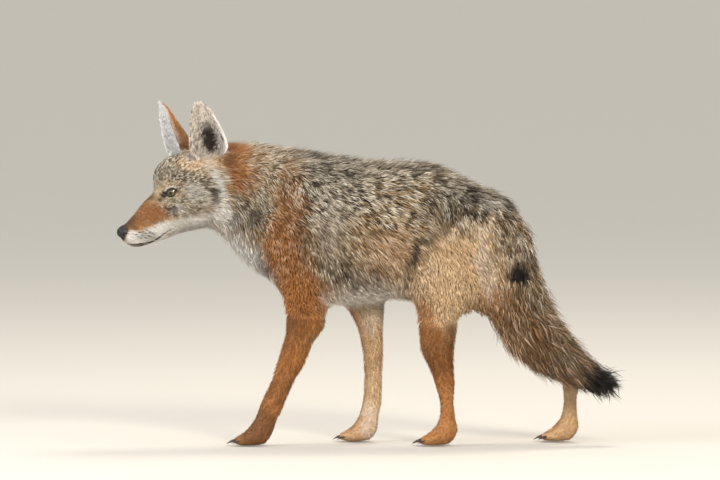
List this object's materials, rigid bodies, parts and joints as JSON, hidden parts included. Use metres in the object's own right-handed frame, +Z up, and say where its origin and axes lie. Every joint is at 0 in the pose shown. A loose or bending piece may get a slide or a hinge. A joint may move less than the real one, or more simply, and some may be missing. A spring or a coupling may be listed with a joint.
{
  "type": "african golden wolf model",
  "caption": "Life-size still model of a golden wolf walking slowly, head up and turned a little to its left, bushy tail hanging behind.",
  "frame": {"origin": "middle of the bounding box, on the floor under the feet", "axes": "+X towards the tail, +Y towards the animal's right side, +Z up"},
  "size_m": [0.7426, 0.1656, 0.5181],
  "materials": {
    "head_fur": "short grizzled fur",
    "pale_fur": "short pale fur",
    "ear_fur": "short rufous fur",
    "body_fur": "grizzled coat",
    "leg_fur": "short rufous fur",
    "tail_fur": "long brown fur",
    "tail_tip_fur": "long black fur",
    "nose": "moist black skin",
    "eye": "glossy eye with a pale iris",
    "claw": "dark horn"
  },
  "bodies": {
    "root": {"eye_right": "eye", "eye_left": "eye", "nose": "nose", "lower_jaw": "pale_fur", "head": "head_fur", "ear_left": "ear_fur", "ear_right": "ear_fur", "neck": "body_fur", "chest": "body_fur", "belly": "body_fur", "rump": "body_fur", "tail_root": "tail_fur", "tail_middle": "tail_fur", "tail_tip": "tail_tip_fur", "front_left_upper": "leg_fur", "front_left_lower": "leg_fur", "front_left_foot": "leg_fur", "front_left_claw_1": "claw", "front_left_claw_2": "claw", "front_left_claw_3": "claw", "front_left_claw_4": "claw", "front_right_upper": "leg_fur", "front_right_lower": "leg_fur", "front_right_foot": "leg_fur", "front_right_claw_1": "claw", "front_right_claw_2": "claw", "front_right_claw_3": "claw", "front_right_claw_4": "claw", "hind_left_upper": "leg_fur", "hind_left_lower": "leg_fur", "hind_left_foot": "leg_fur", "hind_left_claw_1": "claw", "hind_left_claw_2": "claw", "hind_left_claw_3": "claw", "hind_left_claw_4": "claw", "hind_right_upper": "leg_fur", "hind_right_lower": "leg_fur", "hind_right_foot": "leg_fur", "hind_right_claw_1": "claw", "hind_right_claw_2": "claw", "hind_right_claw_3": "claw", "hind_right_claw_4": "claw"}
  },
  "joints": []
}
